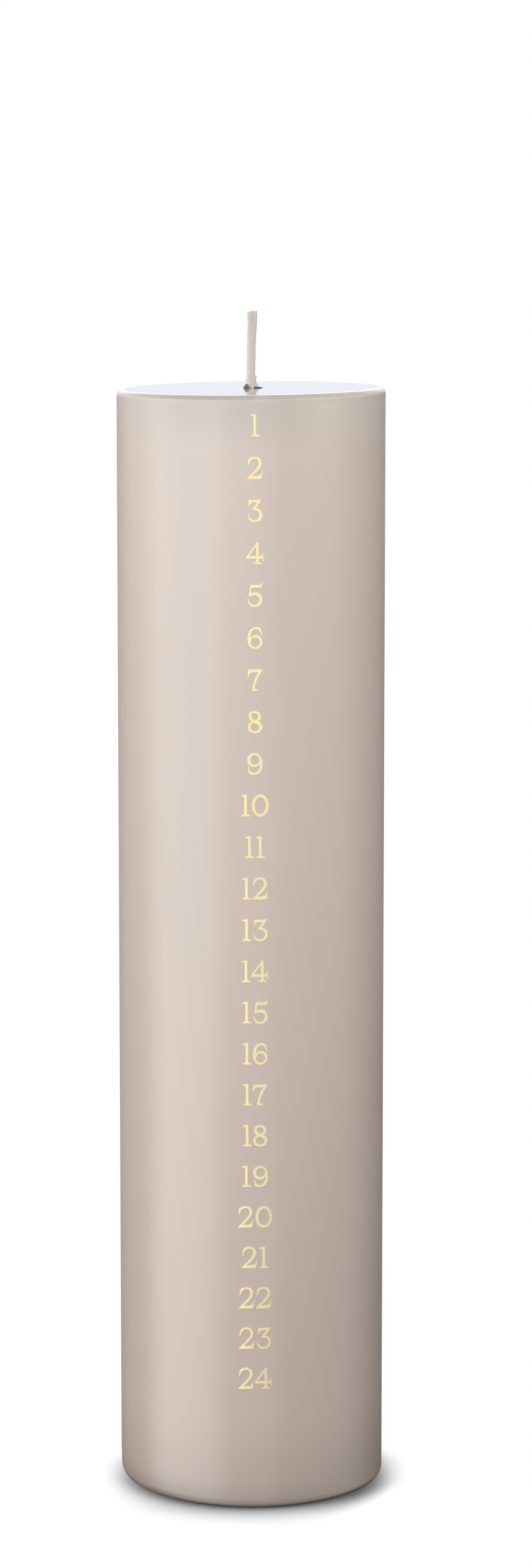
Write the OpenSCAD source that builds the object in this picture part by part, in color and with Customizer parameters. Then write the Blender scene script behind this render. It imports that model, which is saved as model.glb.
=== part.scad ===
// Calendar candle: a lacquered pillar candle with the numbers 1 to 24 in gold foil down its front.
// The candle stands on z = 0 with its axis on the origin, and the numbers face -Y.

/* [Candle] */
// Diameter over the lacquer
candle_d = 60; // [45:1:80]
// Height from the foot to the top face, without the wick
candle_h = 250; // [240:1:300]
// Radius of the rounded top edge, over the lacquer
top_edge_r = 1.4; // [0.8:0.1:3]
// Radius of the rounded foot edge, over the lacquer
foot_edge_r = 1.5; // [1:0.1:3]

/* [Wax layers] */
// Thickness of the coloured coat over the pale core
coat_t = 1.2; // [0.8:0.1:1.6]
// Thickness of the lacquer film over the coat
film_t = 0.12; // [0.06:0.02:0.2]
// Height of the coat's rolled lip above the foot the core was planed to
coat_lift = 0.3; // [0.1:0.1:0.6]
// Height at which the lacquer film ends above the foot
film_lift = 1.2; // [0.9:0.1:3]
// Radius of the planed core's own foot edge
core_edge_r = 1.2; // [0.6:0.1:1.4]

/* [Wick] */
// Diameter of the cotton braid
braid_d = 1.5; // [1:0.1:2.4]
// Thickness of the priming wax around the braid
prime_t = 0.25; // [0.15:0.05:0.5]
// Length of the wick above the top face
wick_out = 17; // [6:0.5:25]
// Radius of the shallow well around the wick at the top face
well_r = 2.7; // [2.4:0.1:5]
// Depth of that well
well_deep = 0.7; // [0.3:0.1:0.7]

/* [Wick sustainer] */
// Diameter of the sustainer's disc
sustainer_d = 18; // [12:0.5:25]
// Thickness of the sustainer's sheet steel
sustainer_t = 0.3; // [0.2:0.05:0.5]
// Height of the neck crimped round the wick, over the disc
neck_h = 5; // [3:0.5:9]
// Depth of the recess in the foot that holds the disc
recess_deep = 1; // [0.6:0.1:3]
// Radial gap between the disc and the wall of its recess
recess_gap = 0.5; // [0.2:0.1:1]

/* [Numbers] */
// How many numbers the candle carries, from 1 at the top
last_number = 24; // [1:1:24]
// Height of the figures
figure_h = 4.9; // [3.5:0.1:6]
// Distance from one number to the next below it
number_pitch = 9.25; // [8:0.05:9.5]
// Distance from the top face to the middle of the first number
first_drop = 6.8; // [5:0.1:10]
// Thickness of the gold foil
foil_t = 0.06; // [0.04:0.01:0.1]
// Bond line between the foil and the lacquer
foil_gap = 0.02; // [0.01:0.01:0.03]
// Straight steps that each curve of a figure is drawn with
curve_steps = 7; // [4:1:10]

/* [Hidden] */
$fn = 128;
candle_r = candle_d / 2;
coat_r = candle_r - film_t;
coat_h = candle_h - film_t;
core_r = coat_r - coat_t;
core_h = coat_h - coat_t;
wick_r = braid_d / 2 + prime_t;
wick_foot = recess_deep - sustainer_t;
wick_top = candle_h + wick_out;
neck_r = wick_r + sustainer_t;
foil_r = candle_r + foil_gap;
unit = figure_h / 100;
figure_middle = 49;
oval_handle = 0.5523;
pale_wax = [0.93, 0.91, 0.87];
coloured_wax = [0.78, 0.71, 0.66];
lacquer = [0.82, 0.76, 0.71, 0.6];
cotton = [0.9, 0.88, 0.83];
prime_wax = [0.81, 0.77, 0.72];
tinplate = [0.72, 0.73, 0.75];
gold = [0.95, 0.84, 0.58];

function number_name(n) = str("numeral_", n < 10 ? "0" : "", n);

// Half of a turned post: radius r, from z = low to z = high, with rounded foot and top edges
module half_post(r, low, high, foot_edge, top_edge) {
    waist = (low + high) / 2;
    translate([0, low]) square([r - foot_edge, waist - low]);
    translate([0, low + foot_edge]) square([r, high - low - foot_edge - top_edge]);
    translate([0, waist]) square([r - top_edge, high - waist]);
    translate([r - foot_edge, low + foot_edge]) circle(foot_edge);
    translate([r - top_edge, high - top_edge]) circle(top_edge);
}

module core_half() {
    half_post(core_r, 0, core_h, core_edge_r, core_edge_r);
}

module coat_half() {
    half_post(coat_r, coat_lift, coat_h, foot_edge_r - film_t, top_edge_r - film_t);
}

module film_half() {
    half_post(candle_r, coat_lift - film_t, candle_h, foot_edge_r, top_edge_r);
}

// The shallow well that the lacquer and the coat leave around the wick
module well() {
    translate([0, 0, candle_h - well_deep])
        cylinder(h = well_deep, r1 = wick_r + 0.4 * (well_r - wick_r), r2 = well_r);
}

// The way for the wick, from z = low to above the top face
module wick_way(low) {
    translate([0, 0, low]) cylinder(h = wick_top - low, r = wick_r);
}

module core() {
    color(pale_wax) difference() {
        rotate_extrude() core_half();
        wick_way(-1);
        translate([0, 0, -1]) cylinder(h = 1 + recess_deep, d = sustainer_d + 2 * recess_gap);
        cylinder(h = recess_deep + neck_h, r = neck_r);
    }
}

module colour_coat() {
    color(coloured_wax) difference() {
        rotate_extrude() difference() {
            coat_half();
            core_half();
        }
        wick_way(core_h - 1);
        well();
    }
}

module lacquer_film() {
    color(lacquer) difference() {
        rotate_extrude() difference() {
            film_half();
            coat_half();
            square([candle_r, film_lift]);
        }
        well();
    }
}

module wick_braid() {
    color(cotton) translate([0, 0, wick_foot]) cylinder(h = wick_top - wick_foot, d = braid_d);
}

module wick_wax() {
    color(prime_wax) difference() {
        translate([0, 0, wick_foot]) cylinder(h = wick_top - wick_foot, r = wick_r);
        translate([0, 0, wick_foot - 1]) cylinder(h = wick_top - wick_foot + 2, d = braid_d);
    }
}

module wick_sustainer() {
    color(tinplate) difference() {
        union() {
            translate([0, 0, wick_foot]) cylinder(h = sustainer_t, d = sustainer_d);
            translate([0, 0, wick_foot]) cylinder(h = sustainer_t + neck_h, r = neck_r);
        }
        translate([0, 0, wick_foot - 1]) cylinder(h = neck_h + 3, r = wick_r);
    }
}

// A figure's outline runs through plain points and through curves, each given as its first handle,
// its second handle and its end. Figures are 100 units high with their left edge at x = 0.
function curve(a, b, c, d) = [
    for (i = [1:curve_steps])
        let (t = i / curve_steps, u = 1 - t)
        u * u * u * a + 3 * u * u * t * b + 3 * u * t * t * c + t * t * t * d
];
function end_of(step) = is_num(step[0]) ? step : step[2];
function outline(path) = [
    for (i = [0:len(path) - 1])
        each is_num(path[i][0]) ? [path[i]]
            : curve(end_of(path[i - 1]), path[i][0], path[i][1], path[i][2])
];

// An upright oval with its middle at x, y and half axes a and b
function oval(x, y, a, b) = let (ha = a * oval_handle, hb = b * oval_handle) [
    [x, y + b],
    [[x + ha, y + b], [x + a, y + hb], [x + a, y]],
    [[x + a, y - hb], [x + ha, y - b], [x, y - b]],
    [[x - ha, y - b], [x - a, y - hb], [x - a, y]],
    [[x - a, y + hb], [x - ha, y + b], [x, y + b]]
];

zero = oval(38.5, 49, 38.5, 50.5);
zero_inside = oval(38, 49, 24.7, 39);

one = [
    [0, 93], [[5, 96], [9, 98.5], [15, 98.5]],
    [26, 98.5], [26, 16], [[26, 9], [31, 6.5], [41.5, 5.5]],
    [41.5, 0], [2, 0], [2, 5.5], [[10, 6.5], [14, 9], [14, 16]],
    [14, 85], [[14, 90], [9, 91], [0, 89.5]]
];

two = [
    [3, 59], [[3, 72], [4, 84], [9, 90]], [[15, 97], [26, 100], [36, 100]],
    [[54, 100], [65.5, 88], [65.5, 72]], [[65.5, 58], [55, 46], [44, 34]],
    [22, 13], [42, 13.5], [[56, 14.5], [61, 19], [64.5, 28]], [68, 37], [70, 36],
    [65, 2], [46, 0], [1, 0], [0, 2], [4, 7], [26, 30],
    [[39, 44], [52, 56], [52, 71]], [[52, 83], [45, 91], [35, 91]], [[21, 91], [11, 82], [5.5, 59]]
];

three = [
    [5, 97], [24, 96], [42, 96.5], [62, 99.5], [60, 92], [38, 60],
    [[56, 59], [66, 46], [66, 30]], [[66, 10], [50, -1], [30, -1]], [[12, -1], [1, 8], [1, 36]],
    [3, 37], [[6, 18], [16, 8], [31, 8]], [[45, 8], [53, 16], [53, 30]],
    [[53, 45], [42, 52], [22, 52]], [21, 55], [43, 87], [24, 86], [[14, 85], [9, 78], [5, 63]],
    [3.5, 64]
];

four = [
    [0.5, 25], [0.5, 33], [47, 97], [50, 98.5], [55, 97.5], [56, 36.5], [65, 36.5],
    [[70, 37], [72, 42], [72.5, 51]], [75, 51], [77.5, 14], [76, 12.5], [73, 12.5],
    [[72, 22], [70, 25.5], [65, 25.5]], [56, 25.5], [56, 14], [[56, 8], [60, 6], [70, 5.5]],
    [70, 0.5], [29.5, 0.5], [29.5, 5.5], [[40, 6.5], [44.5, 8], [44.5, 14]], [44.5, 25.5]
];
four_inside = [[11.5, 36.5], [43, 78], [44.5, 76], [44.5, 36.5]];

five = [
    [13.5, 96.5], [54, 97], [[60, 98.5], [62, 103], [64, 109]], [67, 108.5], [65, 99],
    [63.5, 85], [62, 83.5], [26, 83.5], [[20, 83], [18, 80], [17.5, 76]], [16.5, 59],
    [[24, 61.5], [31, 63], [38, 63]], [[55, 63], [66.5, 49], [66.5, 31]],
    [[66.5, 12], [51, -2], [31, -2]], [[12, -2], [2, 7], [0.5, 36]], [2, 39], [4.5, 37],
    [[8, 18], [16, 7.5], [31, 7.5]], [[45, 7.5], [53.5, 17], [53.5, 30]],
    [[53.5, 42], [45, 51], [33, 51]], [[25, 51], [20, 49], [13, 45]], [9, 45], [6, 49]
];

six = [
    [38, 97.5], [[48, 97.5], [57, 95], [60.5, 88]], [62.5, 76], [65.5, 65], [65, 58], [61.5, 58],
    [[59, 72], [52, 87.5], [39, 87.5]], [[24, 87.5], [14, 73], [14, 49]],
    [[20, 57], [29, 61.5], [39, 61.5]], [[55, 61.5], [67, 48], [67, 30]],
    [[67, 12], [53, -1.5], [34, -1.5]], [[14, -1.5], [0, 15], [0, 48]],
    [[0, 76], [15, 97.5], [38, 97.5]]
];
six_inside = oval(35, 29, 20, 21.5);

seven = [
    [5, 95.5], [66, 96.5], [68, 95], [[62, 82], [52, 68], [45.5, 54]],
    [[40, 41], [36, 28], [33, 15]], [[34, 8], [39, 5.5], [48.5, 4.5]], [48.5, 0.5], [20.5, 0],
    [20, 6], [[24, 26], [30, 45], [35, 59]], [[39, 67], [45, 76], [51.5, 83]], [20, 83],
    [[12, 83], [8, 74], [3.5, 60.5]], [1, 61.5], [1.3, 72]
];

eight = [
    [31.5, 98], [[48, 98], [59.5, 88], [59.5, 74]], [[59.5, 64], [55, 57], [47, 53]],
    [[58, 47], [65, 38], [65, 26]], [[65, 9], [51, -2], [32, -2]], [[14, -2], [0, 9], [0, 25]],
    [[0, 37], [7, 46], [18.5, 50.5]], [[9, 56], [4, 64], [4, 74]], [[4, 89], [15, 98], [31.5, 98]]
];
eight_top = [
    [31.5, 88.5], [[41, 88.5], [47.5, 83], [47.5, 74]], [[47.5, 66], [42, 60], [35.5, 57.5]],
    [[24, 61], [15.5, 68], [15.5, 76]], [[15.5, 83.5], [22, 88.5], [31.5, 88.5]]
];
eight_foot = [
    [28, 44.5], [[42, 40], [52.5, 33], [52.5, 25]], [[52.5, 14], [44, 8], [33, 8]],
    [[21, 8], [12.5, 15], [12.5, 26]], [[12.5, 35], [18, 42], [28, 44.5]]
];

nine = [
    [30, 97.5], [[54, 97.5], [68.5, 78], [68.5, 48]], [[68.5, 16], [52, -1], [29, -1]],
    [[16, -1], [9, 2], [6.5, 7]], [[4, 15], [3.5, 25], [2.7, 35]], [4, 39], [6.5, 36],
    [[10, 18], [18, 8], [31, 8]], [[45, 8], [55, 24], [56, 48]], [[49, 39], [40, 34.5], [29, 34.5]],
    [[12, 34.5], [0, 48], [0, 66.5]], [[0, 84], [12, 97.5], [30, 97.5]]
];
nine_inside = oval(33.5, 66.7, 20, 21.3);

// Per figure: its outlines, the first solid and the rest holes, its width, and the space it keeps
// before itself as a second figure and after itself as a first one
figures = [
    [[zero, zero_inside], 77, 4, 0],
    [[one], 41.5, 5, 2],
    [[two], 70, 3, 5],
    [[three], 66, 6, 0],
    [[four, four_inside], 77.5, 0, 0],
    [[five], 67, 5, 0],
    [[six, six_inside], 67, 3, 0],
    [[seven], 68, 0, 0],
    [[eight, eight_top, eight_foot], 65, 3, 0],
    [[nine, nine_inside], 68.5, 7, 0]
];
function width_of(digit) = figures[digit][1];
function gap_between(first, second) = figures[first][3] + figures[second][2];

module figure(digit) {
    loops = figures[digit][0];
    difference() {
        polygon(outline(loops[0]));
        for (i = [1:1:len(loops) - 1]) polygon(outline(loops[i]));
    }
}

// A number of one or two figures, centred on x = 0 with its foot line on y = 0
module number_shape(n) {
    tens = floor(n / 10);
    ones = n % 10;
    lead = tens > 0 ? width_of(tens) + gap_between(tens, ones) : 0;
    translate([-(lead + width_of(ones)) / 2, 0]) {
        if (tens > 0) figure(tens);
        translate([lead, 0]) figure(ones);
    }
}

// A gold foil number, wrapped on the front of the candle
module numeral(n) {
    middle = candle_h - first_drop - (n - 1) * number_pitch;
    color(gold) intersection() {
        translate([0, 0, middle]) difference() {
            cylinder(h = 2 * figure_h, r = foil_r + foil_t, center = true);
            cylinder(h = 3 * figure_h, r = foil_r, center = true);
        }
        translate([0, 0, middle - figure_middle * unit])
            rotate([90, 0, 0]) linear_extrude(candle_d) scale(unit) number_shape(n);
    }
}

core();
colour_coat();
lacquer_film();
wick_braid();
wick_wax();
wick_sustainer();
for (n = [1:last_number]) numeral(n);
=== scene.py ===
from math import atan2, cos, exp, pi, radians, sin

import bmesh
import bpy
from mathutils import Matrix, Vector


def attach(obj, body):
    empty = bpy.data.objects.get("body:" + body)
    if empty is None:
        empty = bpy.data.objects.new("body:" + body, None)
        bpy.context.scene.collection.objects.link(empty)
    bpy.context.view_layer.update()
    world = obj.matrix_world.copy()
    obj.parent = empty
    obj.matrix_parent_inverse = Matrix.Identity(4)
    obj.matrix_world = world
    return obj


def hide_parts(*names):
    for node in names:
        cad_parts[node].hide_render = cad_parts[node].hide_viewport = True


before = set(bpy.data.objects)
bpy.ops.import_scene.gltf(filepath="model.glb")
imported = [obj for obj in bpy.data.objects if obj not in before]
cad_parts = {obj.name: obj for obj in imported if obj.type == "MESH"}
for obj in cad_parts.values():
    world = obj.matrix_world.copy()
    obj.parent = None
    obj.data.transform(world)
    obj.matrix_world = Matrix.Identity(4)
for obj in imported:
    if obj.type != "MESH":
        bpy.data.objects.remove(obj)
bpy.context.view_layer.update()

# The looks of the calendar candle: a lacquered pillar of dyed wax on a pale core, gold foil numbers down
# its front, and a primed cotton wick that comes out through a torn opening in the lacquer.
# Sizes are in millimetres until a mesh is made; the candle stands on z = 0 and its numbers face -Y.

MM = 0.001
CANDLE_R = 30.0
CANDLE_H = 250.0
TOP_EDGE = 1.4
FOOT_EDGE = 1.5
FILM = 0.12
COAT = 1.2
CORE_R = CANDLE_R - FILM - COAT
CORE_H = CANDLE_H - FILM - COAT
CORE_EDGE = 1.2
FOOT_ARC_Z = 1.68
WICK_R = 1.0
BRAID_R = 0.75
WICK_FOOT = 0.7
WICK_TIP = 266.8
FALL_LEFT = 0.6
FALL_BACK = 0.32
TOP_MIDDLE = CANDLE_H - FALL_LEFT / 2 - FALL_BACK / 2
WHITE = (1.0, 1.0, 1.0, 1.0)
BLACK = (0.0, 0.0, 0.0, 1.0)


# ---- Node trees

class Wire:
    """An output socket that takes part in Python arithmetic: each operator adds a Math node to its tree."""

    def __init__(self, tree, socket):
        self.tree, self.socket = tree, socket

    def __getitem__(self, name):
        return Wire(self.tree, self.socket.node.outputs[name])

    def math(self, operation, *others, clamp=False):
        return add(self.tree, "ShaderNodeMath", {"operation": operation, "use_clamp": clamp},
                   dict(enumerate((self, *others))))

    def turned(self, operation, other):
        return add(self.tree, "ShaderNodeMath", {"operation": operation}, {0: other, 1: self})

    def __add__(self, other):
        return self.math("ADD", other)

    def __sub__(self, other):
        return self.math("SUBTRACT", other)

    def __mul__(self, other):
        return self.math("MULTIPLY", other)

    def __truediv__(self, other):
        return self.math("DIVIDE", other)

    def __pow__(self, other):
        return self.math("POWER", other)

    def __rsub__(self, other):
        return self.turned("SUBTRACT", other)

    def __rtruediv__(self, other):
        return self.turned("DIVIDE", other)

    def __neg__(self):
        return self * -1

    __radd__ = __add__
    __rmul__ = __mul__

    def clamped(self):
        return self.math("ADD", 0.0, clamp=True)

    def rise(self, start, end):
        """0 before start, 1 after end, and smooth between them."""
        return add(self.tree, "ShaderNodeMapRange", {"interpolation_type": "SMOOTHSTEP"},
                   {"Value": self, "From Min": start, "From Max": end})


def add(tree, kind, settings=None, sockets=None):
    """Adds a node: its settings first, then its sockets' values or links. Gives its first working output."""
    node = tree.nodes.new(kind)
    for name, value in (settings or {}).items():
        if name == "captured":
            node.capture_items.new(*value)
        else:
            setattr(node, name, value)
    for name, value in (sockets or {}).items():
        socket = node.inputs[name]
        if isinstance(value, Wire):
            tree.links.new(value.socket, socket)
        else:
            socket.default_value = value
    working = [output for output in node.outputs if output.enabled]
    return Wire(tree, working[0]) if working else None


def mixed(factor, first, second):
    """A colour between first and second; either may be a plain colour or a wire."""
    return add(factor.tree, "ShaderNodeMix", {"data_type": "RGBA"}, {0: factor, 6: first, 7: second})


def layered(tone, *layers):
    """A colour with others laid over it in turn, each given as how far it covers and its colour."""
    for cover, colour in layers:
        tone = mixed(cover, tone, colour)
    return tone


def noise(place, scale, detail=2.0, roughness=0.5, distortion=0.0):
    return add(place.tree, "ShaderNodeTexNoise", None,
               {"Vector": place, "Scale": scale, "Detail": detail, "Roughness": roughness,
                "Distortion": distortion})


def stretched(place, scale):
    """The place scaled along each axis, so that a pattern is drawn out along one of them."""
    return add(place.tree, "ShaderNodeMapping", None, {"Vector": place, "Scale": scale})


def parts_of(place):
    """The x, y and z wires of a vector wire."""
    x = add(place.tree, "ShaderNodeSeparateXYZ", None, {0: place})
    return x, x["Y"], x["Z"]


def in_millimetres(place):
    """Wires for a place's millimetres to the right, to the back, out from the axis and up."""
    x, y, z = (wire * (1 / MM) for wire in parts_of(place))
    return x, y, (x * x + y * y) ** 0.5, z


def material(name, paint, **constants):
    """A material on one Principled shader. paint(place) gives the wires that vary; constants sit on sockets."""
    made = bpy.data.materials.new(name)
    made.use_nodes = True
    tree = made.node_tree
    tree.nodes.clear()
    place = add(tree, "ShaderNodeTexCoord")["Object"]
    sockets = {key.replace("_", " "): value for key, value in constants.items()}
    sockets.update(paint(place))
    surface = add(tree, "ShaderNodeBsdfPrincipled", None, sockets)
    add(tree, "ShaderNodeOutputMaterial", None, {"Surface": surface})
    return made


def bumped(height, strength, distance):
    return add(height.tree, "ShaderNodeBump", None,
               {"Height": height, "Strength": strength, "Distance": distance})


# ---- Finishes

def paint_lacquer(place):
    x, _, out, high = in_millimetres(place)
    across = x / CANDLE_R
    grain = noise(place, 1400.0, 3.0)
    veils = noise(stretched(place, (60.0, 60.0, 3.0)), 1.0, 3.0)
    marbling = noise(stretched(place, (90.0, 90.0, 260.0)), 1.0, 4.0, 0.6, 1.5)
    swell = noise(stretched(place, (70.0, 70.0, 25.0)), 1.0, 2.0)
    dust = add(place.tree, "ShaderNodeTexVoronoi", {"feature": "F1"}, {"Vector": place, "Scale": 130.0})
    # Places on the candle, each 1 where it holds and 0 elsewhere.
    on_top = 1 - out.rise(27.0, 29.9)
    near_rim = high.rise(243.0, 248.5)
    upper_wall = high.rise(135.0, 205.0) * (1 - high.rise(234.0, 246.0))
    in_front = (1 - ((across + 0.25) * 1.33) ** 2).clamped()
    under_rim = high.rise(236.0, 248.6) * out.rise(28.7, 29.5)
    rim_crest = out.rise(28.4, 28.8) * (1 - out.rise(29.0, 29.3)) * high.rise(240.0, 248.0)
    below_crest = out.rise(28.85, 29.2) * (1 - out.rise(29.85, 30.02)) * high.rise(247.6, 248.6)
    low_wall = 1 - high.rise(0.0, 24.0)
    by_the_foot = (1 - high.rise(0.5, 6.5)) * (1 - across.rise(0.3, 0.8))
    round_opening = 1 - out.rise(1.8, 3.2)
    # A greyer tone along the highlight column on the upper wall, as painted highlight tint, and greyer towards the
    # top. Marbling and specks in the lacquer, and scorched wax with painted shade round the wick.
    highlight_tint = (1 - ((across + 0.50) * 4.2) ** 2).clamped() * high.rise(105.0, 140.0) * 0.75
    cooler = high.rise(228.0, 249.0) * 0.8
    marbled = near_rim * marbling.rise(0.45, 0.75)
    scorch_and_shade = (1 - out.rise(1.15, 1.6)) * noise(place, 900.0, 2.0).rise(0.2, 0.45)
    soot_and_shade = mixed(grain.rise(0.4, 0.7), (0.08, 0.06, 0.05, 1), (0.22, 0.16, 0.12, 1))
    specks = (1 - dust.rise(0.008, 0.02)) * noise(place, 45.0).rise(0.45, 0.6)
    tone = layered(
        mixed(veils.rise(0.3, 0.7), (0.571, 0.482, 0.424, 1), (0.599, 0.500, 0.442, 1)),
        # Painted highlight tint: greyer along the highlight column of the upper wall; also greyer towards the top.
        (highlight_tint + cooler - highlight_tint * cooler, (0.543, 0.488, 0.432, 1)),
        # Painted shade: the upper wall a little darker.
        (upper_wall * 0.035, BLACK),
        # Painted shade under the rim in front, a painted highlight on the rim's crest and painted shade on the rim's
        # outer rounding.
        (under_rim * in_front * 0.95, (0.450, 0.405, 0.358, 1)),
        (rim_crest * 0.4, (0.82, 0.78, 0.74, 1)),
        (below_crest * 0.72, (0.32, 0.283, 0.25, 1)),
        # Painted shade: the top face darker than the wall.
        (on_top * 0.5, (0.44, 0.405, 0.38, 1)),
        # Painted shade: darker towards the bottom, and darker still by the foot except at the right.
        (low_wall * 0.9, (0.472, 0.397, 0.348, 1)),
        (by_the_foot * 0.8, (0.380, 0.318, 0.278, 1)),
        (marbled * 0.35, (0.50, 0.43, 0.38, 1)),
        (round_opening * 0.5, (0.72, 0.69, 0.66, 1)),
        # Scorched wax and painted shade at the edge of the opening round the wick.
        (scorch_and_shade, soot_and_shade),
        (specks * 0.3, (0.80, 0.74, 0.68, 1)))
    gloss = 0.34 - on_top * 0.27 + (grain - 0.5) * 0.05 + near_rim * (marbling - 0.5) * 0.10
    uneven = swell * (1 - on_top * 0.85) * 0.9 + grain * 0.02
    return {"Base Color": tone, "Roughness": gloss, "Normal": bumped(uneven, 0.25, 0.0004)}


def paint_dyed_wax(place):
    _, _, out, high = in_millimetres(place)
    cloud = noise(place, 180.0, 4.0, 0.6)
    by_the_wick = 1 - out.rise(2.4, 3.2)
    foot = 1 - high.rise(1.2, 1.8)
    tone = layered(
        mixed(cloud, (0.56, 0.455, 0.39, 1), (0.62, 0.51, 0.44, 1)),
        # Painted shade in the recess round the wick, under the torn film.
        (by_the_wick, (0.085, 0.065, 0.045, 1)),
        # Painted shade: the foot below the film's end darker.
        (foot, (0.42, 0.355, 0.31, 1)))
    return {"Base Color": tone, "Roughness": 0.5 + (cloud - 0.5) * 0.2,
            "Normal": bumped(noise(place, 900.0, 3.0), 0.2, 0.0002)}


def paint_pale_wax(place):
    crystals = add(place.tree, "ShaderNodeTexVoronoi", None, {"Vector": place, "Scale": 420.0})
    cloud = noise(place, 70.0, 4.0, 0.6)
    tone = mixed(cloud, (0.80, 0.77, 0.69, 1), (0.90, 0.88, 0.82, 1))
    return {"Base Color": tone, "Roughness": 0.6 + (cloud - 0.5) * 0.2,
            "Normal": bumped(crystals * 0.6 + noise(place, 1500.0), 0.3, 0.0002)}


def pale_spot(x, y, high, across, over, wide, tall):
    """1 at the middle of a small bubble in the wick's front, and 0 beside it; sizes in millimetres."""
    aside = (x - across) / wide
    up = (high - TOP_MIDDLE - over) / tall
    return (1 - (aside * aside + up * up).rise(0.3, 1.0)) * (1 - y.rise(-0.2, 0.0))


def paint_priming_wax(place):
    x, y, _, high = in_millimetres(place)
    streaks = noise(stretched(place, (2400.0, 2400.0, 180.0)), 1.0, 3.0)
    lumps = noise(stretched(place, (1500.0, 1500.0, 500.0)), 1.0, 3.0)
    left_edge = 1 - x.rise(-0.75, -0.30)
    right_edge = x.rise(0.45, 0.85)
    low = 1 - high.rise(TOP_MIDDLE - 0.5, TOP_MIDDLE + 2.8)
    bubbles = pale_spot(x, y, high, 0.36, 11.4, 0.30, 0.12) * 0.5 + pale_spot(x, y, high, 0.23, 2.27, 0.13, 0.22)
    tone = layered(
        mixed(streaks.rise(0.3, 0.7), (0.470, 0.428, 0.375, 1), (0.518, 0.475, 0.418, 1)),
        # Painted highlight along the wick's left edge.
        (left_edge * 0.6, (0.60, 0.565, 0.525, 1)),
        (right_edge * 0.5, (0.61, 0.555, 0.50, 1)),
        (low * 0.75, (0.66, 0.625, 0.575, 1)),
        (bubbles * 0.35, (0.66, 0.61, 0.57, 1)))
    return {"Base Color": tone, "Roughness": 0.38 + (streaks - 0.5) * 0.2,
            "Normal": bumped(lumps, 0.35, 0.00015)}


def paint_torn_film(place):
    creases = noise(stretched(place, (1800.0, 1800.0, 900.0)), 1.0, 4.0, 0.7)
    tone = mixed(creases.rise(0.35, 0.65), (0.56, 0.535, 0.51, 1), (0.66, 0.645, 0.63, 1))
    return {"Base Color": tone, "Roughness": 0.3 + (creases - 0.5) * 0.2, "Alpha": 0.34 + creases * 0.32,
            "Normal": bumped(creases, 0.5, 0.0001)}


def paint_scorch_and_shade_film(place):
    # Scorched film that is also painted shade, dark for the hollows under the lifted film.
    blots = noise(place, 2600.0, 4.0, 0.7)
    tone = mixed(blots.rise(0.35, 0.7), (0.04, 0.032, 0.03, 1), (0.19, 0.155, 0.135, 1))
    return {"Base Color": tone, "Roughness": 0.5 + (blots - 0.5) * 0.3, "Normal": bumped(blots, 0.5, 0.0001)}


def paint_cotton(place):
    fibres = noise(stretched(place, (9000.0, 9000.0, 1500.0)), 1.0, 3.0)
    tone = mixed(fibres, (0.66, 0.60, 0.52, 1), (0.86, 0.82, 0.75, 1))
    return {"Base Color": tone, "Roughness": 0.8 + (fibres - 0.5) * 0.2, "Normal": bumped(fibres, 0.5, 0.0001)}


def paint_tinplate(place):
    rolling = noise(stretched(place, (4000.0, 60.0, 60.0)), 1.0, 3.0)
    spangle = add(place.tree, "ShaderNodeTexVoronoi", None, {"Vector": place, "Scale": 300.0})
    tone = mixed(spangle, (0.46, 0.47, 0.50, 1), (0.60, 0.61, 0.63, 1))
    return {"Base Color": tone, "Roughness": 0.32 + (rolling - 0.5) * 0.2,
            "Normal": bumped(rolling, 0.2, 0.00005)}


def paint_gold_foil(place):
    x, _, _, high = in_millimetres(place)
    patches = noise(place, 2600.0, 3.0, 0.6)
    grain = noise(place, 9000.0, 2.0)
    wear = noise(place, 5200.0, 3.0, 0.7)
    tone = layered(
        mixed(patches.rise(0.35, 0.65), (0.84, 0.675, 0.325, 1), (0.87, 0.75, 0.435, 1)),
        (x.rise(-0.8, 2.5) * 0.75, (1.0, 0.88, 0.52, 1)),
        # Painted shade towards the top, where the top numbers are also a deeper yellow of their own, and painted
        # light towards the bottom.
        (high.rise(200.0, 245.0) * 0.2, (0.70, 0.56, 0.30, 1)),
        ((1 - high.rise(60.0, 200.0)) * 0.35, (0.98, 0.86, 0.50, 1)))
    return {"Base Color": tone, "Roughness": 0.42 + (patches - 0.5) * 0.2, "Alpha": wear.rise(0.26, 0.32),
            "Normal": bumped(grain, 0.3, 0.00003)}


lacquer = material("greige_lacquer", paint_lacquer, IOR=1.5, Specular_IOR_Level=0.9)
dyed_wax = material("dyed_wax", paint_dyed_wax, IOR=1.44, Subsurface_Weight=0.3, Subsurface_Scale=0.002,
                    Subsurface_Radius=(1.0, 0.6, 0.4))
pale_wax = material("pale_wax", paint_pale_wax, IOR=1.44, Subsurface_Weight=0.4, Subsurface_Scale=0.004,
                    Subsurface_Radius=(1.0, 0.7, 0.5))
priming_wax = material("priming_wax", paint_priming_wax, IOR=1.44, Subsurface_Weight=0.25,
                       Subsurface_Scale=0.0006, Subsurface_Radius=(1.0, 0.8, 0.6))
torn_film = material("torn_film", paint_torn_film, IOR=1.45)
scorch_and_shade_film = material("scorch_and_shade_film", paint_scorch_and_shade_film, IOR=1.45)
cotton = material("braided_cotton", paint_cotton, Sheen_Weight=0.3)
tinplate = material("tinplate", paint_tinplate, Metallic=1.0)
gold_foil = material("gold_foil", paint_gold_foil, Metallic=0.75)


# ---- Making pieces

def finished(piece, finish_slot, *nodes):
    """Puts a made piece in the frame: it rides on the candle and stands for its CAD nodes. Its finish slot is not
    used.
    """
    for face in piece.data.polygons:
        face.use_smooth = True
    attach(piece, "root")
    if nodes:
        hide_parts(*nodes)
    return piece


def linked(name, mesh):
    piece = bpy.data.objects.new(name, mesh)
    bpy.context.scene.collection.objects.link(piece)
    return piece


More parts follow.
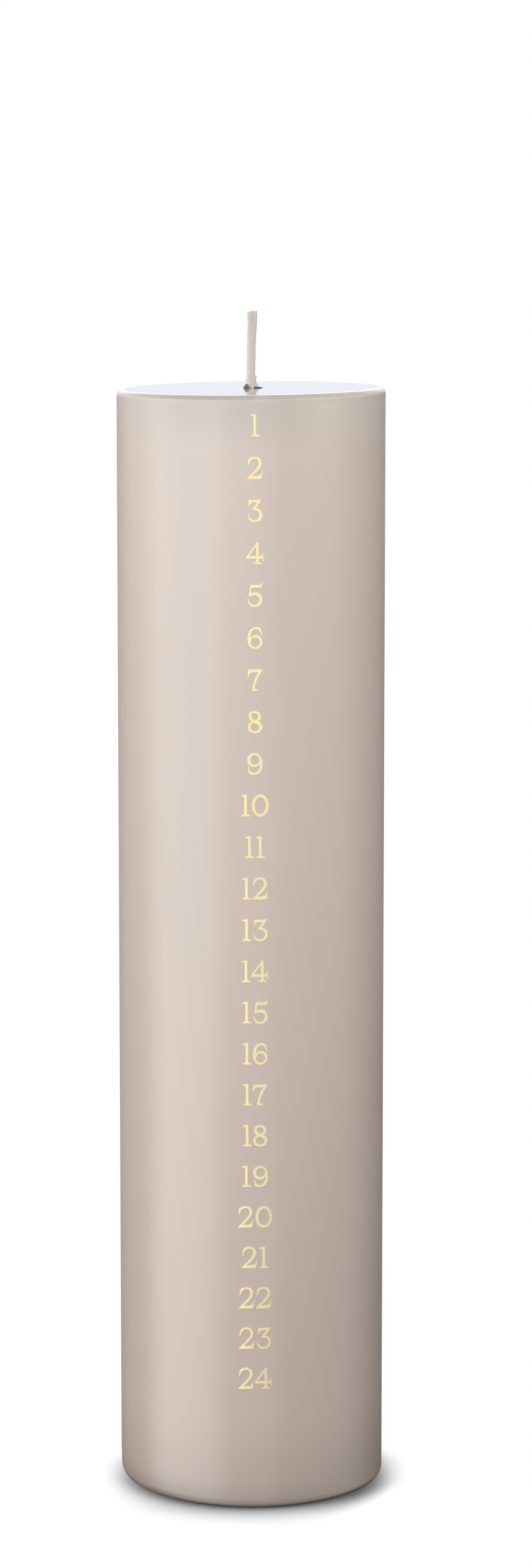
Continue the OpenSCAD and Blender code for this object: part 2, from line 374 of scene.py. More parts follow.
def tidy_mesh(mesh):
    """Merges doubles, then turns every face outwards."""
    work = bmesh.new()
    work.from_mesh(mesh)
    bmesh.ops.remove_doubles(work, verts=work.verts, dist=1e-7)
    bmesh.ops.recalc_face_normals(work, faces=work.faces)
    work.to_mesh(mesh)
    work.free()
    return mesh


def grown(name, tree, start, inputs):
    """Runs a Geometry Nodes tree on a start mesh and gives the plain mesh it makes as a new piece."""
    holder = linked(name + "_start", start)
    modifier = holder.modifiers.new("grow", "NODES")
    modifier.node_group = tree
    sockets = {item.name: item.identifier for item in tree.interface.items_tree if item.in_out == "INPUT"}
    for key, value in inputs.items():
        modifier[sockets[key]] = value
    bpy.context.view_layer.update()
    whole = bpy.data.meshes.new_from_object(holder.evaluated_get(bpy.context.evaluated_depsgraph_get()))
    holder.modifiers.remove(modifier)
    bpy.data.objects.remove(holder)
    whole.name = name
    return linked(name, tidy_mesh(whole))


def new_tree(name, inputs):
    """A Geometry Nodes tree with named inputs, as (kind, name, default), and wires for each of them."""
    tree = bpy.data.node_groups.new(name, "GeometryNodeTree")
    tree.interface.new_socket("Geometry", in_out="OUTPUT", socket_type="NodeSocketGeometry")
    tree.interface.new_socket("Geometry", in_out="INPUT", socket_type="NodeSocketGeometry")
    for kind, key, default in inputs:
        socket = tree.interface.new_socket(key, in_out="INPUT", socket_type="NodeSocket" + kind)
        if default is not None:
            socket.default_value = default
    entry = add(tree, "NodeGroupInput")
    return tree, entry


def close_tree(tree, shape, finish):
    """Ends a tree as plain geometry with its material."""
    whole = add(tree, "GeometryNodeRealizeInstances", None, {0: shape})
    coloured = add(tree, "GeometryNodeSetMaterial", None, {"Geometry": whole, "Material": finish})
    add(tree, "NodeGroupOutput", None, {0: coloured})


def turning_tree():
    """Turns a closed profile round the candle's axis, then lets the skin sag, swell and tear as wax does."""
    tree, entry = new_tree("turned_wax", [
        ("Int", "Steps round", 256), ("Float", "Height", CANDLE_H * MM),
        ("Float", "Fall left", 0.0), ("Float", "Fall back", 0.0),
        ("Float", "Foot slack left", 0.0), ("Float", "Foot slack right", 0.0), ("Float", "Ripple", 0.0),
        ("Float", "Opening inner", 0.0), ("Float", "Opening outer", 0.006),
        ("Float", "Opening left", 0.0), ("Float", "Opening right", 0.0), ("Float", "Opening deep", 0.0),
        ("Float", "Raggedness", 0.0),
        ("Float", "Lift left", 0.0), ("Float", "Lift right", 0.0),
        ("Float", "Crimps", 0.0), ("Float", "Crimp depth", 0.0), ("Float", "Crimps above", 0.0),
        ("Float", "End wave", 0.0), ("Material", "Finish", None)])
    profile = add(tree, "GeometryNodeMeshToCurve", None, {0: entry["Geometry"]})
    drawn = add(tree, "GeometryNodeCaptureAttribute", {"captured": ("VECTOR", "at")}, {
        0: profile, 1: add(tree, "GeometryNodeInputPosition")})
    ring = add(tree, "GeometryNodeCurvePrimitiveCircle", {"mode": "RADIUS"},
               {"Resolution": entry["Steps round"], "Radius": 1.0})
    counted = add(tree, "GeometryNodeCaptureAttribute", {"captured": ("FLOAT", "step")}, {
        0: ring, 1: add(tree, "GeometryNodeInputIndex")})
    swept = add(tree, "GeometryNodeCurveToMesh", None, {"Curve": counted, "Profile Curve": drawn})
    turn = counted["step"] / entry["Steps round"] * (2 * pi)
    out, _, high = parts_of(drawn["at"])
    across, along = turn.math("COSINE"), turn.math("SINE")
    # The foot was pressed level by hand, more to the left, where its edge is rounder.
    slack = entry["Foot slack left"] * (-across).rise(-0.2, 1.0) + entry["Foot slack right"] * across.rise(0.0, 1.0)
    near_foot = (1 - high / (4 * MM)).clamped() ** 2
    edge_share = (out / (CANDLE_R * MM)) ** 12
    heading = add(tree, "ShaderNodeCombineXYZ", None, {0: across, 1: along, 2: high * 12.0})
    ripple = noise(heading, 1.7, 2.0)
    out = out - slack * near_foot * edge_share - entry["Ripple"] * ripple * (out / (CANDLE_R * MM)) ** 4
    # The opening for the wick: it runs out in a point to the right, and gapes in front at the left.
    gape_right = across.clamped() ** 3
    gape_left = (across * -0.819 - along * 0.574).clamped() ** 8
    fine = noise(add(tree, "ShaderNodeCombineXYZ", None, {0: across, 1: along, 2: 3.7}), 3.1, 4.0, 0.7)
    edge = (entry["Opening deep"] + (entry["Opening left"] - entry["Opening deep"]) * gape_left
            + (entry["Opening right"] - entry["Opening deep"]) * gape_right + (fine - 0.5) * entry["Raggedness"])
    nearness = 1 - (out - entry["Opening inner"]) / (entry["Opening outer"] - entry["Opening inner"])
    nearness = nearness.clamped() * (entry["Opening right"] * 1e6).clamped()
    out = out + (edge - entry["Opening inner"]) * nearness
    behind = along.rise(0.0, 0.35)
    lift = (entry["Lift left"] * (-across).rise(-0.1, 0.5) + entry["Lift right"] * across.rise(0.1, 0.6)) * behind
    high = high + lift * nearness ** 9
    # The drips of the lower end, the crimps of the neck and the slight fall of the top face.
    waves = noise(heading, 4.0, 3.0) - 0.5
    high = high + entry["End wave"] * waves * near_foot
    crimped = (high * 1e6 - entry["Crimps above"] * 1e6).clamped()
    out = out - entry["Crimp depth"] * crimped * ((turn * entry["Crimps"]).math("COSINE") * 0.5 + 0.5)
    leftward, backward = 1 - across * out / (CANDLE_R * MM), 1 + along * out / (CANDLE_R * MM)
    high = high - high / entry["Height"] * (entry["Fall left"] * leftward + entry["Fall back"] * backward) * 0.5
    at = add(tree, "ShaderNodeCombineXYZ", None, {0: out * across, 1: out * along, 2: high})
    shaped = add(tree, "GeometryNodeSetPosition", None, {"Geometry": swept, "Position": at})
    close_tree(tree, shaped, entry["Finish"])
    return tree


def arc(middle_r, middle_z, radius, start, end, steps):
    """Points of a rounded edge, from the angle start to the angle end in degrees, 0 pointing outwards."""
    return [(middle_r + radius * cos(radians(start + (end - start) * i / steps)),
             middle_z + radius * sin(radians(start + (end - start) * i / steps))) for i in range(steps + 1)]


def line(r0, z0, r1, z1, steps):
    """Points between two corners, without the corners."""
    return [(r0 + (r1 - r0) * i / steps, z0 + (z1 - z0) * i / steps) for i in range(1, steps)]


def profile_mesh(points):
    """A closed loop of edges in the XZ plane."""
    mesh = bpy.data.meshes.new("profile")
    count = len(points)
    mesh.from_pydata([(r * MM, 0.0, z * MM) for r, z in points], [(i, (i + 1) % count) for i in range(count)], [])
    return mesh


def film_profile():
    side = CANDLE_R
    top = [(r, CANDLE_H) for r in (1.2, 1.35, 1.5, 1.7, 1.95, 2.3, 2.8, 3.5, 4.5, 6.0, 9.0, 14.0, 19.0, 24.0, 27.5)]
    outer = top + arc(side - TOP_EDGE, CANDLE_H - TOP_EDGE, TOP_EDGE, 90, 0, 12)
    outer += line(side, CANDLE_H - TOP_EDGE, side, 2.4, 60)
    end = [(29.998, 2.4), (29.99, 2.1), (29.965, 1.8), (29.92, 1.5), (29.87, 1.3),
           (29.836, 1.21), (29.832, 1.2), (29.815, 1.195)]
    inner = arc(side - FOOT_EDGE, FOOT_ARC_Z, FOOT_EDGE - FILM, -20, 0, 2)
    inner += line(side - FILM, FOOT_ARC_Z, side - FILM, CANDLE_H - TOP_EDGE, 8)
    inner += arc(side - TOP_EDGE, CANDLE_H - TOP_EDGE, TOP_EDGE - FILM, 0, 90, 6)
    inner += [(r, CANDLE_H - FILM) for r in (20.0, 9.0, 4.5, 2.8, 1.95, 1.5, 1.3)]
    return outer + end + inner + [(1.22, CANDLE_H - 0.1), (1.18, CANDLE_H - 0.04)]


def coat_profile():
    side, top = CANDLE_R - FILM, CANDLE_H - FILM
    outer = [(WICK_R, 249.3), (1.68, 249.3), (1.9, 249.42), (2.3, 249.7), (2.6, top), (4.0, top), (9.0, top)]
    outer += line(9.0, top, side - TOP_EDGE + FILM, top, 4)
    outer += arc(CANDLE_R - TOP_EDGE, CANDLE_H - TOP_EDGE, TOP_EDGE - FILM, 90, 0, 8)
    outer += line(side, CANDLE_H - TOP_EDGE, side, FOOT_ARC_Z, 24)
    outer += arc(CANDLE_R - FOOT_EDGE, FOOT_ARC_Z, FOOT_EDGE - FILM, 0, -90, 10)
    inner = arc(CORE_R - CORE_EDGE, CORE_EDGE, CORE_EDGE, -48, 0, 5)
    inner += line(CORE_R, CORE_EDGE, CORE_R, CORE_H - CORE_EDGE, 8)
    inner += arc(CORE_R - CORE_EDGE, CORE_H - CORE_EDGE, CORE_EDGE, 0, 90, 5)
    return outer + inner + [(14.0, CORE_H), (WICK_R, CORE_H)]


def core_profile():
    outer = [(WICK_R, CORE_H), (8.0, CORE_H), (18.0, CORE_H)]
    outer += arc(CORE_R - CORE_EDGE, CORE_H - CORE_EDGE, CORE_EDGE, 90, 0, 5)
    outer += line(CORE_R, CORE_H - CORE_EDGE, CORE_R, CORE_EDGE, 16)
    outer += arc(CORE_R - CORE_EDGE, CORE_EDGE, CORE_EDGE, 0, -90, 8)
    recess = [(22.0, 0.0), (16.0, 0.0), (9.7, 0.0), (9.55, 0.05), (9.5, 0.2), (9.5, 0.9), (9.4, 1.0), (5.0, 1.0)]
    return outer + recess + [(1.35, 1.0), (1.3, 1.1), (1.3, 5.9), (1.25, 6.0), (WICK_R, 6.0), (WICK_R, 120.0)]


def sustainer_profile():
    low = WICK_FOOT
    under = [(WICK_R, low + 0.04), (1.04, low), (3.0, low), (4.6, low), (4.85, low + 0.06), (5.35, low + 0.06),
             (5.6, low), (8.7, low)]
    rim = arc(8.85, low + 0.15, 0.15, -90, 90, 6)
    over = [(8.7, low + 0.3), (5.7, low + 0.3), (5.35, low + 0.24), (4.85, low + 0.24), (4.5, low + 0.3),
            (1.6, low + 0.3), (1.4, low + 0.4), (1.3, low + 0.6), (1.3, 2.4), (1.3, 5.5), (1.24, 5.8), (1.15, 5.9)]
    return under + rim + over + [(WICK_R, 5.9), (WICK_R, 2.4)]


turned = turning_tree()
FALL = {"Fall left": FALL_LEFT * MM, "Fall back": FALL_BACK * MM, "Height": CANDLE_H * MM}
FOOT = {"Foot slack left": 0.9 * MM, "Foot slack right": 0.05 * MM}

film_skin = finished(grown("film_skin", turned, profile_mesh(film_profile()), {
    "Steps round": 480, "Ripple": 0.03 * MM, "Opening inner": 1.2 * MM, "Opening outer": 6 * MM,
    "Opening left": 1.9 * MM, "Opening right": 2.75 * MM, "Opening deep": 1.08 * MM, "Raggedness": 0.3 * MM,
    "Lift left": 0.95 * MM, "Lift right": 0.12 * MM, "End wave": 0.2 * MM, "Finish": lacquer, **FALL, **FOOT}),
    "lacquer", "lacquer_film")
coat_skin = finished(grown("coat_skin", turned, profile_mesh(coat_profile()), {
    "Steps round": 256, "Finish": dyed_wax, **FALL, **FOOT}), "coloured_wax", "colour_coat")
core_post = finished(grown("core_post", turned, profile_mesh(core_profile()), {
    "Steps round": 192, "Finish": pale_wax, **FALL, **FOOT}), "pale_wax", "core")
sustainer = finished(grown("crimped_sustainer", turned, profile_mesh(sustainer_profile()), {
    "Steps round": 144, "Crimps": 6.0, "Crimp depth": 0.14 * MM, "Crimps above": 2.0 * MM, "Finish": tinplate}),
    "tinned_steel", "wick_sustainer")


# ---- Wick

# Middle and half width of the wick at heights over the top face, in millimetres.
WICK_SHAPE = [(-1.0, 0.0, 1.0), (0.0, 0.0, 0.95), (1.2, 0.0, 0.93), (2.7, -0.03, 0.95), (3.5, -0.06, 0.925),
              (4.9, -0.02, 0.945), (6.3, 0.03, 0.95), (8.7, 0.08, 0.955), (11.3, 0.13, 0.97), (13.8, 0.23, 1.0),
              (15.0, 0.30, 1.02), (16.0, 0.31, 1.10), (17.1, 0.22, 1.10)]


def wick_at(z):
    """The wick's middle, as an x, and its radius at a height z."""
    over = z - TOP_MIDDLE
    if over <= WICK_SHAPE[0][0]:
        return WICK_SHAPE[0][1:]
    for (h0, x0, r0), (h1, x1, r1) in zip(WICK_SHAPE, WICK_SHAPE[1:]):
        if over <= h1:
            share = (over - h0) / (h1 - h0)
            share = share * share * (3 - 2 * share)
            return x0 + (x1 - x0) * share, r0 + (r1 - r0) * share
    return WICK_SHAPE[-1][1:]


def bump_at(angle, z, bump):
    """Height of a wax blob at an angle and height: bump is its angle, height over the top, size and spread."""
    at, over, size, wide, tall = bump
    turn = (angle - radians(at) + pi) % (2 * pi) - pi
    return size * exp(-(turn / wide) ** 2 - ((z - TOP_MIDDLE - over) / tall) ** 2)


# The nodule on the right, the two small bubbles in front, and lesser drips all round.
WICK_BLOBS = [(5, 2.5, 0.34, 0.45, 0.35), (0, 1.7, 0.24, 0.5, 0.7), (-80, 11.35, 0.05, 0.12, 0.07),
              (-82, 2.25, 0.07, 0.10, 0.2), (60, 7.0, 0.06, 0.4, 1.2), (140, 4.0, 0.10, 0.5, 0.8),
              (200, 10.0, 0.04, 0.3, 2.0), (100, 13.0, 0.05, 0.3, 0.5), (-140, 0.8, 0.10, 0.4, 0.8)]


def tip_height(x):
    """The slanting cut at the wick's tip."""
    return WICK_TIP - 0.25 + 0.17 * (x - 0.2)


def wick_sleeve():
    """The priming wax: a tube round the braid that is even inside the candle and lumpy above it."""
    buried = [WICK_FOOT, 1.0, 60.0, 120.0, 180.0, 230.0, 245.0]
    bottom, step, around = 248.0, 0.14, 48
    standing = [bottom + i * step for i in range(int((WICK_TIP - 0.4 - bottom) / step) + 1)]
    work = bmesh.new()

    def ring(z, inner, top=False):
        x, radius = wick_at(z)
        made = []
        for i in range(around):
            angle = 2 * pi * i / around
            reach = BRAID_R if inner else radius + sum(bump_at(angle, z, b) for b in WICK_BLOBS)
            if not inner and z > TOP_MIDDLE:
                reach += 0.02 * sin(5 * angle + z * 0.7) + 0.012 * sin(9 * angle - z * 1.9)
            across = x + reach * cos(angle)
            high = tip_height(across) - (0.05 if inner else 0.0) if top else z
            made.append(work.verts.new((across * MM, reach * sin(angle) * MM, high * MM)))
        return made

    rings = [ring(z, False) for z in buried + standing]
    rings += [ring(standing[-1], inner, True) for inner in (False, True)]
    rings += [ring(z, True) for z in reversed(buried + standing[::8])]
    for low, high in zip(rings, rings[1:] + rings[:1]):
        for i in range(around):
            j = (i + 1) % around
            work.faces.new((low[i], low[j], high[j], high[i]))
    mesh = bpy.data.meshes.new("wick_sleeve")
    work.to_mesh(mesh)
    work.free()
    mesh.materials.append(priming_wax)
    return linked("wick_sleeve", tidy_mesh(mesh))


def braiding_tree():
    """Strands that wind both ways round the wick's middle line and pass over and under each other."""
    tree, entry = new_tree("braid", [
        ("Int", "Strands", 8), ("Float", "Pitch", 0.006), ("Float", "Braid radius", 0.0005),
        ("Float", "Strand radius", 0.0002), ("Float", "Crossing", 0.0001), ("Material", "Finish", None)])
    middle = add(tree, "GeometryNodeMeshToCurve", None, {0: entry["Geometry"]})
    copies = add(tree, "GeometryNodeDuplicateElements", {"domain": "SPLINE"}, {
        "Geometry": middle, "Amount": entry["Strands"]})
    strand = add(tree, "GeometryNodeFieldOnDomain", {"domain": "CURVE", "data_type": "FLOAT"}, {
        0: copies["Duplicate Index"]})
    x, y, z = parts_of(add(tree, "GeometryNodeInputPosition"))
    handed = strand.math("MODULO", 2.0) * 2 - 1
    turn = z / entry["Pitch"] * (2 * pi) * handed + strand * (2 * pi) / entry["Strands"]
    weave = (z / entry["Pitch"] * (2 * pi) * entry["Strands"] / 2).math("SINE") * handed
    reach = entry["Braid radius"] + entry["Crossing"] * weave
    aside = add(tree, "ShaderNodeCombineXYZ", None, {
        0: reach * turn.math("COSINE"), 1: reach * turn.math("SINE")})
    wound = add(tree, "GeometryNodeSetPosition", None, {"Geometry": copies, "Offset": aside})
    section = add(tree, "GeometryNodeCurvePrimitiveCircle", {"mode": "RADIUS"}, {
        "Resolution": 6, "Radius": entry["Strand radius"]})
    thick = add(tree, "GeometryNodeCurveToMesh", None, {
        "Curve": wound, "Profile Curve": section, "Fill Caps": True})
    close_tree(tree, thick, entry["Finish"])
    return tree


def wick_line(step):
    """The wick's middle line from its foot to just under the cut, as a mesh of edges."""
    start, length = WICK_FOOT + 0.2, WICK_TIP - WICK_FOOT - 0.5
    count = int(length / step)
    heights = [start + length * i / count for i in range(count + 1)]
    mesh = bpy.data.meshes.new("wick_line")
    mesh.from_pydata([(wick_at(z)[0] * MM, 0.0, z * MM) for z in heights],
                     [(i, i + 1) for i in range(count)], [])
    return mesh


sleeve = finished(wick_sleeve(), "priming_wax", "wick_wax")
strands = finished(grown("braid_strands", braiding_tree(), wick_line(0.3), {
    "Strands": 8, "Pitch": 5.5 * MM, "Braid radius": 0.46 * MM, "Strand radius": 0.19 * MM,
    "Crossing": 0.08 * MM, "Finish": cotton}), "cotton", "wick_braid")


# ---- Torn film and crumbs round the wick

# Strips of torn film: each point is x, y, height over the top face and half width, in millimetres.
SHREDS = [
    [(-1.58, -0.33, 1.28, 0.03), (-1.52, -0.33, 1.52, 0.06), (-1.28, -0.34, 1.66, 0.08), (-0.98, -0.33, 1.62, 0.12),
     (-0.88, -0.30, 1.30, 0.12)],
    [(-1.00, -0.95, 1.10, 0.04), (-0.76, -1.06, 0.80, 0.09), (-0.46, -1.16, 0.46, 0.10), (-0.18, -1.22, 0.12, 0.06)],
    [(0.64, -0.76, 0.84, 0.26), (0.76, -0.68, 0.84, 0.50), (0.88, -0.58, 0.80, 0.60), (1.00, -0.50, 0.78, 0.60),
     (1.12, -0.42, 0.80, 0.60), (1.24, -0.36, 0.84, 0.54), (1.33, -0.32, 0.94, 0.36), (1.39, -0.30, 1.02, 0.16)],
    [(0.30, 1.05, 0.9, 0.15), (0.45, 1.15, 0.5, 0.28), (0.50, 1.30, 0.0, 0.30)],
    [(-0.75, 0.85, 0.7, 0.10), (-0.95, 1.05, 0.4, 0.22), (-1.05, 1.30, 0.0, 0.20)],
]
# Leaves of film, dark as scorched film and as painted shade in the hollows under the lifted film: one stands up
# against the wick at the left in front, one runs off to the right.
LEAF = [[(0.62, -0.76, 0.26, 0.08), (0.85, -0.68, 0.20, 0.16), (1.15, -0.60, 0.15, 0.17), (1.55, -0.50, 0.14, 0.15),
         (1.95, -0.38, 0.12, 0.12), (2.40, -0.25, 0.10, 0.06)],
        [(-1.68, -0.90, 0.06, 0.05), (-1.35, -0.96, 0.28, 0.26), (-1.02, -1.00, 0.46, 0.50),
         (-0.70, -1.05, 0.33, 0.38), (-0.35, -1.12, 0.13, 0.20), (-0.15, -1.15, 0.04, 0.08)]]
# Crumbs of wax in the opening: x, y, height over the top face and radius, in millimetres.
CRUMBS = [(-1.17, -1.15, 0.66, 0.13), (-0.66, -1.24, 0.14, 0.08), (-1.9, 0.1, -0.25, 0.12), (1.5, 0.2, -0.25, 0.13),
          (1.9, -0.1, -0.3, 0.09), (-1.5, 0.5, -0.3, 0.10), (1.2, -0.6, -0.3, 0.10), (-1.3, -0.5, -0.3, 0.13),
          (0.9, 0.9, -0.3, 0.12), (-0.8, 1.0, -0.3, 0.09)]


def shred_tree():
    """Thin torn strips that follow lines, each as broad at a point as the line says there."""
    tree, entry = new_tree("torn_film", [
        ("Float", "Thickness share", 0.12), ("Float", "Crumple", 0.00004), ("Float", "Raggedness", 0.4),
        ("Material", "Finish", None)])
    lines = add(tree, "GeometryNodeMeshToCurve", None, {0: entry["Geometry"]})
    curved = add(tree, "GeometryNodeCurveSplineType", {"spline_type": "CATMULL_ROM"}, {0: lines})
    broad = add(tree, "GeometryNodeInputNamedAttribute", {"data_type": "FLOAT"}, {"Name": "broad"})
    fine = add(tree, "GeometryNodeResampleCurve", None, {"Curve": curved, "Count": 28})
    torn = noise(add(tree, "GeometryNodeInputPosition"), 3500.0, 2.0)
    broad = broad * (1 + (torn - 0.5) * 2 * entry["Raggedness"])
    ring = add(tree, "GeometryNodeCurvePrimitiveCircle", {"mode": "RADIUS"}, {"Resolution": 16, "Radius": 1.0})
    thinness = add(tree, "ShaderNodeCombineXYZ", None, {0: entry["Thickness share"], 1: 1.0, 2: 1.0})
    flat = add(tree, "GeometryNodeTransform", None, {"Geometry": ring, "Scale": thinness})
    strips = add(tree, "GeometryNodeCurveToMesh", None, {
        "Curve": fine, "Profile Curve": flat, "Scale": broad, "Fill Caps": True})
    place = add(tree, "GeometryNodeInputPosition")
    push = add(tree, "ShaderNodeVectorMath", {"operation": "SUBTRACT"}, {
        0: noise(place, 2200.0, 3.0, 0.7)["Color"], 1: (0.5, 0.5, 0.5)})
    push = add(tree, "ShaderNodeVectorMath", {"operation": "SCALE"}, {0: push, "Scale": entry["Crumple"] * 2})
    close_tree(tree, add(tree, "GeometryNodeSetPosition", None, {"Geometry": strips, "Offset": push}),
               entry["Finish"])
    return tree


def crumb_tree():
    """A rough crumb of wax at every point, turned and stretched at random."""
    tree, entry = new_tree("crumbs", [
        ("Float", "Roughness", 0.3), ("Int", "Seed", 5), ("Material", "Finish", None)])
    ball = add(tree, "GeometryNodeMeshIcoSphere", None, {"Radius": 1.0, "Subdivisions": 3})
    size = add(tree, "GeometryNodeInputNamedAttribute", {"data_type": "FLOAT"}, {"Name": "size"})
    points = add(tree, "GeometryNodeMeshToPoints", None, {0: entry["Geometry"]})
    turned_by = add(tree, "FunctionNodeRandomValue", {"data_type": "FLOAT_VECTOR"}, {
        "Max": (6.28, 6.28, 6.28), "Seed": entry["Seed"]})
    placed = add(tree, "GeometryNodeInstanceOnPoints", None, {
        "Points": points, "Instance": ball, "Scale": size})
    placed = add(tree, "GeometryNodeRotateInstances", None, {0: placed, "Rotation": turned_by})
    whole = add(tree, "GeometryNodeRealizeInstances", None, {0: placed})
    place = add(tree, "GeometryNodeInputPosition")
    push = add(tree, "ShaderNodeVectorMath", {"operation": "SUBTRACT"}, {
        0: noise(place, 7000.0, 2.0)["Color"], 1: (0.5, 0.5, 0.5)})
    push = add(tree, "ShaderNodeVectorMath", {"operation": "SCALE"}, {0: push, "Scale": entry["Roughness"] * 0.001})
    close_tree(tree, add(tree, "GeometryNodeSetPosition", None, {"Geometry": whole, "Offset": push}),
               entry["Finish"])
    return tree


def points_mesh(name, chains, value_name):
    """A mesh of chains of points over the top face, with one number kept at each point."""
    mesh = bpy.data.meshes.new(name)
    points = [point for chain in chains for point in chain]
    edges, first = [], 0
    for chain in chains:
        edges += [(first + i, first + i + 1) for i in range(len(chain) - 1)]
        first += len(chain)
    mesh.from_pydata([(x * MM, y * MM, (TOP_MIDDLE + h) * MM) for x, y, h, _ in points], edges, [])
    kept = mesh.attributes.new(value_name, "FLOAT", "POINT")
    for item, point in zip(kept.data, points):
        item.value = point[3] * MM
    return mesh


torn = shred_tree()
shreds = finished(grown("film_shreds", torn, points_mesh("shreds", SHREDS, "broad"), {
    "Thickness share": 0.10, "Crumple": 0.09 * MM, "Raggedness": 0.3, "Finish": torn_film}), "lacquer")
leaf = finished(grown("scorch_and_shade_leaf", torn, points_mesh("leaf", LEAF, "broad"), {
    "Thickness share": 0.08, "Crumple": 0.08 * MM, "Raggedness": 0.2, "Finish": scorch_and_shade_film}), "lacquer")
crumbs = finished(grown("wax_crumbs", crumb_tree(), points_mesh("crumbs", [[c] for c in CRUMBS], "size"), {
    "Roughness": 0.1, "Seed": 5, "Finish": torn_film}), "lacquer")


# ---- Numbers

for name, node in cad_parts.items():
    if name.startswith("numeral_"):
        node.data.materials.clear()
        node.data.materials.append(gold_foil)


# ---- Stage: floor, lamps, world and camera

PHOTO_WIDE, PHOTO_HIGH = 874, 2576
FLOOR_R = 6.0
SOFTBOX_SIZE = 0.4
LIT_POINT = (0.0, 0.0, 0.2)
BACKDROP = 1.15
CEILING = 1.5
# Panels that the gloss reflects: azimuth, half width at full strength, half width, strength low and high.
PANELS = [(-62, 16, 46, 3.1, 2.7), (-22, 0, 30, 0.1, 0.75), (-120, 5, 28, 0.0, 0.4), (0, 12, 26, 0.85, 0.8),
          (70, 25, 50, 0.4, 0.1)]
# Softboxes: azimuth, distance and height in metres, and power in watts.
SOFTBOXES = {"front_left": (-30, 1.00, 0.30, 3.92), "front": (0, 0.60, 0.36, 1.87), "left": (-90, 0.70, 0.36, 2.08),
             "back_left": (-120, 0.70, 0.36, 2.85), "right": (60, 0.45, 0.36, 1.36),
             "back_right": (120, 0.45, 0.36, 0.75), "back": (170, 0.80, 0.30, 2.2), "top": (0, 0.05, 1.30, 2.8)}


def floor_material():
    """White to the camera, with the candle's contact shadow."""
    made = bpy.data.materials.new("floor")
    made.use_nodes = True
    tree = made.node_tree
    tree.nodes.clear()
    x, y, _, _ = in_millimetres(add(tree, "ShaderNodeTexCoord")["Object"])
    ahead = (-y / CANDLE_R).clamped()
    to_right = (x / CANDLE_R).clamped()
    aside = to_right - (-x / CANDLE_R).clamped()
    reach = 6 * MM + ahead ** 2 * (7 * MM) + aside * (1 * MM)
    near = add(tree, "ShaderNodeAmbientOcclusion", {"samples": 16}, {"Distance": reach})["AO"]
    open_share = ((near - 0.5) * 2).clamped()
    darkest = 0.25 + (1 - ahead) ** 2 * (0.25 - aside * 0.1)
    soft = darkest + (1 - darkest) * (1 - (1 - open_share) ** 1.3)
    # In front at the right the shadow is deeper and ends sooner.
    steep = 0.14 + open_share.rise(0.0, 0.87) * 0.86
    right_front = to_right ** 3 * ahead ** 2 * 4.8
    at_contact = (near * 2).clamped() ** 0.4
    shade = (soft + (steep - soft) * right_front) * at_contact
    white = add(tree, "ShaderNodeEmission", None, {"Color": WHITE, "Strength": shade})
    add(tree, "ShaderNodeOutputMaterial", None, {"Surface": white})
    return made


def make_floor():
    """Only the camera sees the floor, which is at its own brightness and throws no light back up."""
    mesh = bpy.data.meshes.new("floor")
    work = bmesh.new()
    bmesh.ops.create_circle(work, cap_ends=True, segments=96, radius=FLOOR_R)
    work.to_mesh(mesh)
    work.free()
    mesh.materials.append(floor_material())
    floor = linked("floor", mesh)
    floor.visible_diffuse = floor.visible_glossy = floor.visible_transmission = floor.visible_shadow = False


def softbox(name, azimuth, distance, height, power):
    """A square softbox at an azimuth from the camera's side of the candle, positive to the right."""
    lamp = bpy.data.lights.new(name, "AREA")
    lamp.shape, lamp.size, lamp.energy = "SQUARE", SOFTBOX_SIZE, power
    piece = bpy.data.objects.new(name, lamp)
    bpy.context.scene.collection.objects.link(piece)
    piece.location = (distance * sin(radians(azimuth)), -distance * cos(radians(azimuth)), height)
    towards = Vector(LIT_POINT) - piece.location
    piece.rotation_euler = towards.to_track_quat("-Z", "Y").to_euler()
    piece.visible_glossy = False


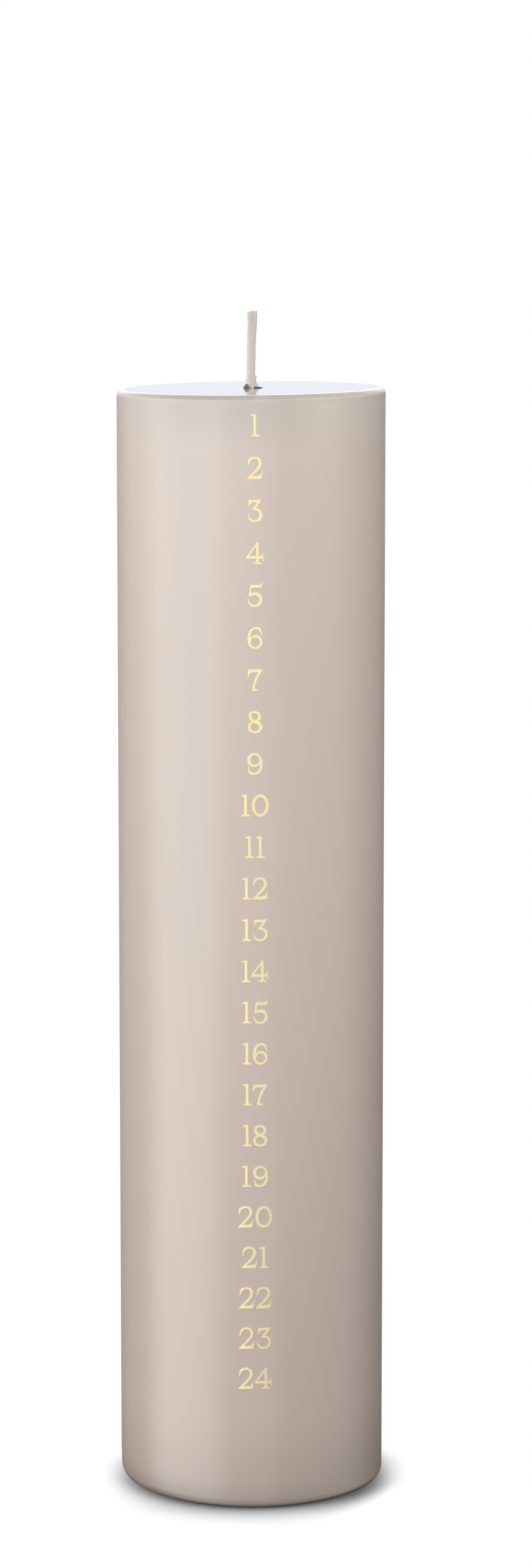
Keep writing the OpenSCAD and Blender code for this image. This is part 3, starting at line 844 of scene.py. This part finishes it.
def make_world():
    """White to the camera. Reflections see a backdrop, a ceiling and soft panels, and the rest is dark."""
    world = bpy.data.worlds.new("studio")
    bpy.context.scene.world = world
    world.use_nodes = True
    tree = world.node_tree
    tree.nodes.clear()
    seen = add(tree, "ShaderNodeLightPath")
    x, y, z = parts_of(add(tree, "ShaderNodeTexCoord")["Generated"])
    level = (x * x + y * y) ** 0.5
    sky = z.rise(-0.02, 0.02)
    glow = y.rise(0.80, 0.95) * sky * BACKDROP + z.rise(0.12, 0.22) * CEILING
    # The panels fade out high up, and far down, where steep views would see them beside the numbers.
    fading = (1 - z.rise(0.30, 0.65)) * (0.35 + z.rise(-0.50, -0.34) * 0.65)
    for azimuth, full, wide, low, high in PANELS:
        facing = (x * sin(radians(azimuth)) - y * cos(radians(azimuth))) / level
        edge = facing.rise(cos(radians(wide)), cos(radians(full)))
        glow = glow + edge * fading * (low + z.rise(-0.30, 0.0) * (high - low))
    to_white = (seen["Is Camera Ray"] + seen["Is Transmission Ray"]).clamped()
    strength = glow * seen["Is Glossy Ray"]
    strength = strength + (1 - strength) * to_white
    bluish = sky * (1 - z.rise(0.10, 0.20) * 0.8)
    tone = mixed(seen["Is Glossy Ray"], WHITE, mixed(bluish, WHITE, (0.87, 0.905, 1.0, 1)))
    light = add(tree, "ShaderNodeBackground", None, {"Color": tone, "Strength": strength})
    add(tree, "ShaderNodeOutputWorld", None, {"Surface": light})


def make_camera():
    """The photograph's view: a little left of the numbers, and from above the top face."""
    distance, height, side_angle, pitch, focal_px, axis_px = 1.000, 0.3085, -1.55, 8.43, 7355.0, 412.5
    data = bpy.data.cameras.new("camera")
    data.sensor_width = 36.0
    data.lens = focal_px * data.sensor_width / PHOTO_HIGH
    camera = bpy.data.objects.new("camera", data)
    bpy.context.scene.collection.objects.link(camera)
    camera.location = (distance * sin(radians(side_angle)), -distance * cos(radians(side_angle)), height)
    turn = radians(side_angle) - atan2(PHOTO_WIDE / 2 - axis_px, focal_px)
    camera.rotation_euler = (pi / 2 - radians(pitch), 0.0, turn)
    bpy.context.scene.camera = camera


make_floor()
make_world()
make_camera()
for name, numbers in SOFTBOXES.items():
    softbox(name, *numbers)

scene = bpy.context.scene
scene.view_settings.view_transform = "Standard"
